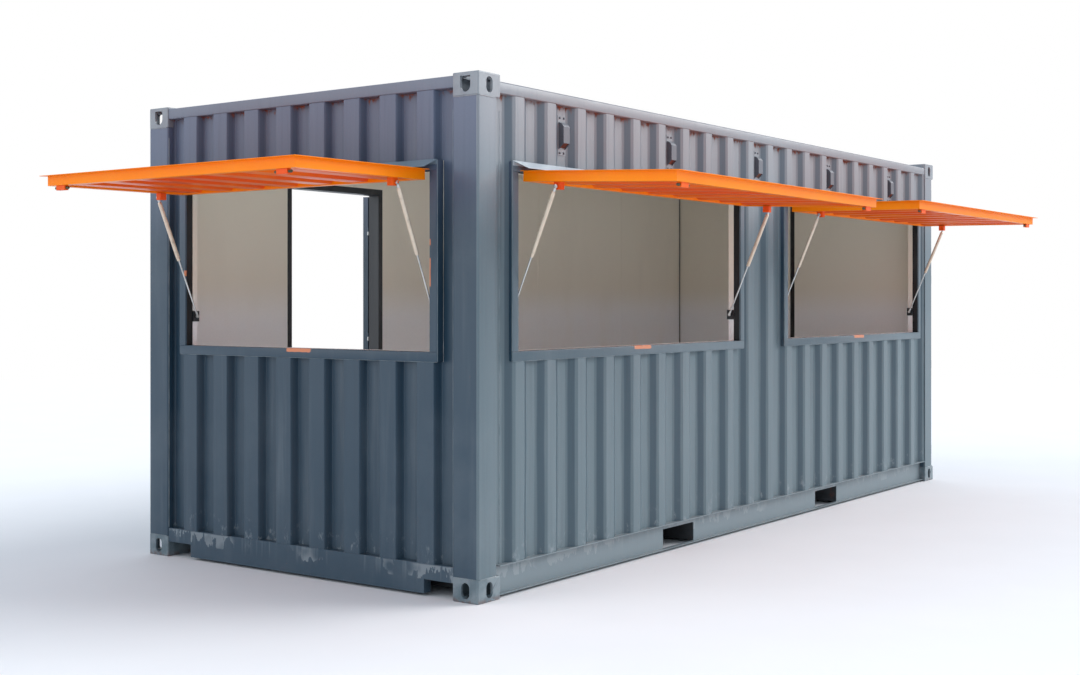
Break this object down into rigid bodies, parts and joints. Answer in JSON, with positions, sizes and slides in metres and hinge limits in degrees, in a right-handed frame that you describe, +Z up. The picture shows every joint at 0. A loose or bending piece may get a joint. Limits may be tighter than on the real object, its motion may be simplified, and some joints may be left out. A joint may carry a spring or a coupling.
{
  "type": "shipping container cabin",
  "caption": "Container-sized serving cabin with three top-hung orange hatches on gas struts, a lined interior and a rear doorway.",
  "frame": {"origin": "on the ground, at the centre of the rectangle of the four bottom corner casting sockets", "axes": "+X along the container from the front end with its hatch to the cargo doors, +Y towards the back wall with the doorway, +Z up"},
  "size_m": [7.001, 3.6255, 2.591],
  "materials": {
    "container_paint": "slate blue-grey container paint, satin, weathered",
    "underframe_black": "black underframe coating, matte",
    "hatch_paint": "orange paint, satin",
    "strut_steel": "plated steel, slightly yellowed",
    "hinge_steel": "zinc-plated steel",
    "bracket_black": "black paint, satin",
    "lining_white": "white lining board, eggshell",
    "door_panel": "slate blue-grey paint on an insulated door, satin",
    "floor_ply": "sealed plywood",
    "vent_paint": "container paint on pressed vents",
    "seal_rubber": "black rubber"
  },
  "bodies": {
    "container": {"back_lining_over_door": "lining_white", "back_lining_sides": "lining_white", "back_wall_over_door": "container_paint", "back_wall_sides": "container_paint", "bottom_corner_castings": "container_paint", "cargo_door_hinges": "container_paint", "cargo_door_leaves": "container_paint", "cargo_door_lock_rods": "container_paint", "ceiling_lining": "lining_white", "centre_seal": "seal_rubber", "crossmembers": "underframe_black", "door_header": "container_paint", "door_hinge_lugs": "hinge_steel", "door_sill": "container_paint", "doorway_head": "bracket_black", "doorway_jambs": "bracket_black", "floor_boards": "floor_ply", "fork_pockets": "underframe_black", "front_bottom_rail": "container_paint", "front_corner_posts": "container_paint", "front_top_rail": "container_paint", "front_wall_bands": "container_paint", "front_wall_piers": "container_paint", "hatch_heads_and_sills": "container_paint", "hatch_hinge_lugs": "container_paint", "hatch_jambs": "container_paint", "lining_bands": "lining_white", "lining_piers": "lining_white", "lock_rod_guides": "container_paint", "lock_rod_handles": "container_paint", "rain_flashings": "container_paint", "rear_corner_posts": "container_paint", "rear_lining": "lining_white", "roof_end_plates": "container_paint", "roof_sheet": "container_paint", "service_wall_bands": "container_paint", "service_wall_piers": "container_paint", "side_bottom_rails": "container_paint", "side_top_rails": "container_paint", "strut_foot_brackets": "bracket_black", "top_corner_castings": "container_paint", "wall_vents": "vent_paint"},
    "end_hatch": {"end_hatch_frame": "hatch_paint", "end_hatch_sheet": "hatch_paint", "end_hatch_fittings": "hatch_paint"},
    "end_strut_cylinders": {"end_strut_cylinders": "strut_steel"},
    "end_strut_rods": {"end_strut_rods": "strut_steel"},
    "near_hatch": {"near_hatch_frame": "hatch_paint", "near_hatch_sheet": "hatch_paint", "near_hatch_fittings": "hatch_paint"},
    "near_strut_cylinders": {"near_strut_cylinders": "strut_steel"},
    "near_strut_rods": {"near_strut_rods": "strut_steel"},
    "far_hatch": {"far_hatch_frame": "hatch_paint", "far_hatch_sheet": "hatch_paint", "far_hatch_fittings": "hatch_paint"},
    "far_strut_cylinders": {"far_strut_cylinders": "strut_steel"},
    "far_strut_rods": {"far_strut_rods": "strut_steel"},
    "back_door": {"door_handles": "hinge_steel", "door_leaf": "door_panel"}
  },
  "joints": [
    {"name": "end_hatch_hinge", "type": "hinge", "parent": "container", "child": "end_hatch", "pos_m": [-3.039, 0, 2.13], "axis": [0, -1, 0], "range_deg": [0, 89.7]},
    {"name": "end_strut_pivot", "type": "hinge", "parent": "end_hatch", "child": "end_strut_cylinders", "pos_m": [-3.24158, 0, 2.04894], "axis": [0, -1, 0], "range_deg": [-113.69, 1]},
    {"name": "end_strut_slide", "type": "slide", "parent": "end_strut_cylinders", "child": "end_strut_rods", "axis": [-0.394, 0, 0.9191], "range_m": [-0.002, 0.18235]},
    {"name": "near_hatch_hinge", "type": "hinge", "parent": "container", "child": "near_hatch", "pos_m": [-1.5155, -1.229, 2.13], "axis": [1, 0, 0], "range_deg": [0, 87.4]},
    {"name": "near_strut_pivot", "type": "hinge", "parent": "near_hatch", "child": "near_strut_cylinders", "pos_m": [-1.5155, -1.42816, 2.04087], "axis": [1, 0, 0], "range_deg": [-111.39, 1]},
    {"name": "near_strut_slide", "type": "slide", "parent": "near_strut_cylinders", "child": "near_strut_rods", "axis": [0, -0.394, 0.9191], "range_m": [-0.002, 0.17359]},
    {"name": "far_hatch_hinge", "type": "hinge", "parent": "container", "child": "far_hatch", "pos_m": [1.5285, -1.229, 2.13], "axis": [1, 0, 0], "range_deg": [0, 89.2]},
    {"name": "far_strut_pivot", "type": "hinge", "parent": "far_hatch", "child": "far_strut_cylinders", "pos_m": [1.5285, -1.43086, 2.04717], "axis": [1, 0, 0], "range_deg": [-113.19, 1]},
    {"name": "far_strut_slide", "type": "slide", "parent": "far_strut_cylinders", "child": "far_strut_rods", "axis": [0, -0.394, 0.9191], "range_m": [-0.002, 0.18045]},
    {"name": "door_hinge", "type": "hinge", "parent": "container", "child": "back_door", "pos_m": [-1.147, 1.229, 1.225], "axis": [0, 0, 1], "range_deg": [0, 170]}
  ],
  "couplings": [
    {"joint": "end_strut_pivot", "follows": "end_hatch_hinge", "ratio": -1.2563},
    {"joint": "end_strut_slide", "follows": "end_hatch_hinge", "m_per_rad": 0.1152},
    {"joint": "near_strut_pivot", "follows": "near_hatch_hinge", "ratio": -1.2631},
    {"joint": "near_strut_slide", "follows": "near_hatch_hinge", "m_per_rad": 0.11249},
    {"joint": "far_strut_pivot", "follows": "far_hatch_hinge", "ratio": -1.2578},
    {"joint": "far_strut_slide", "follows": "far_hatch_hinge", "m_per_rad": 0.11462}
  ]
}
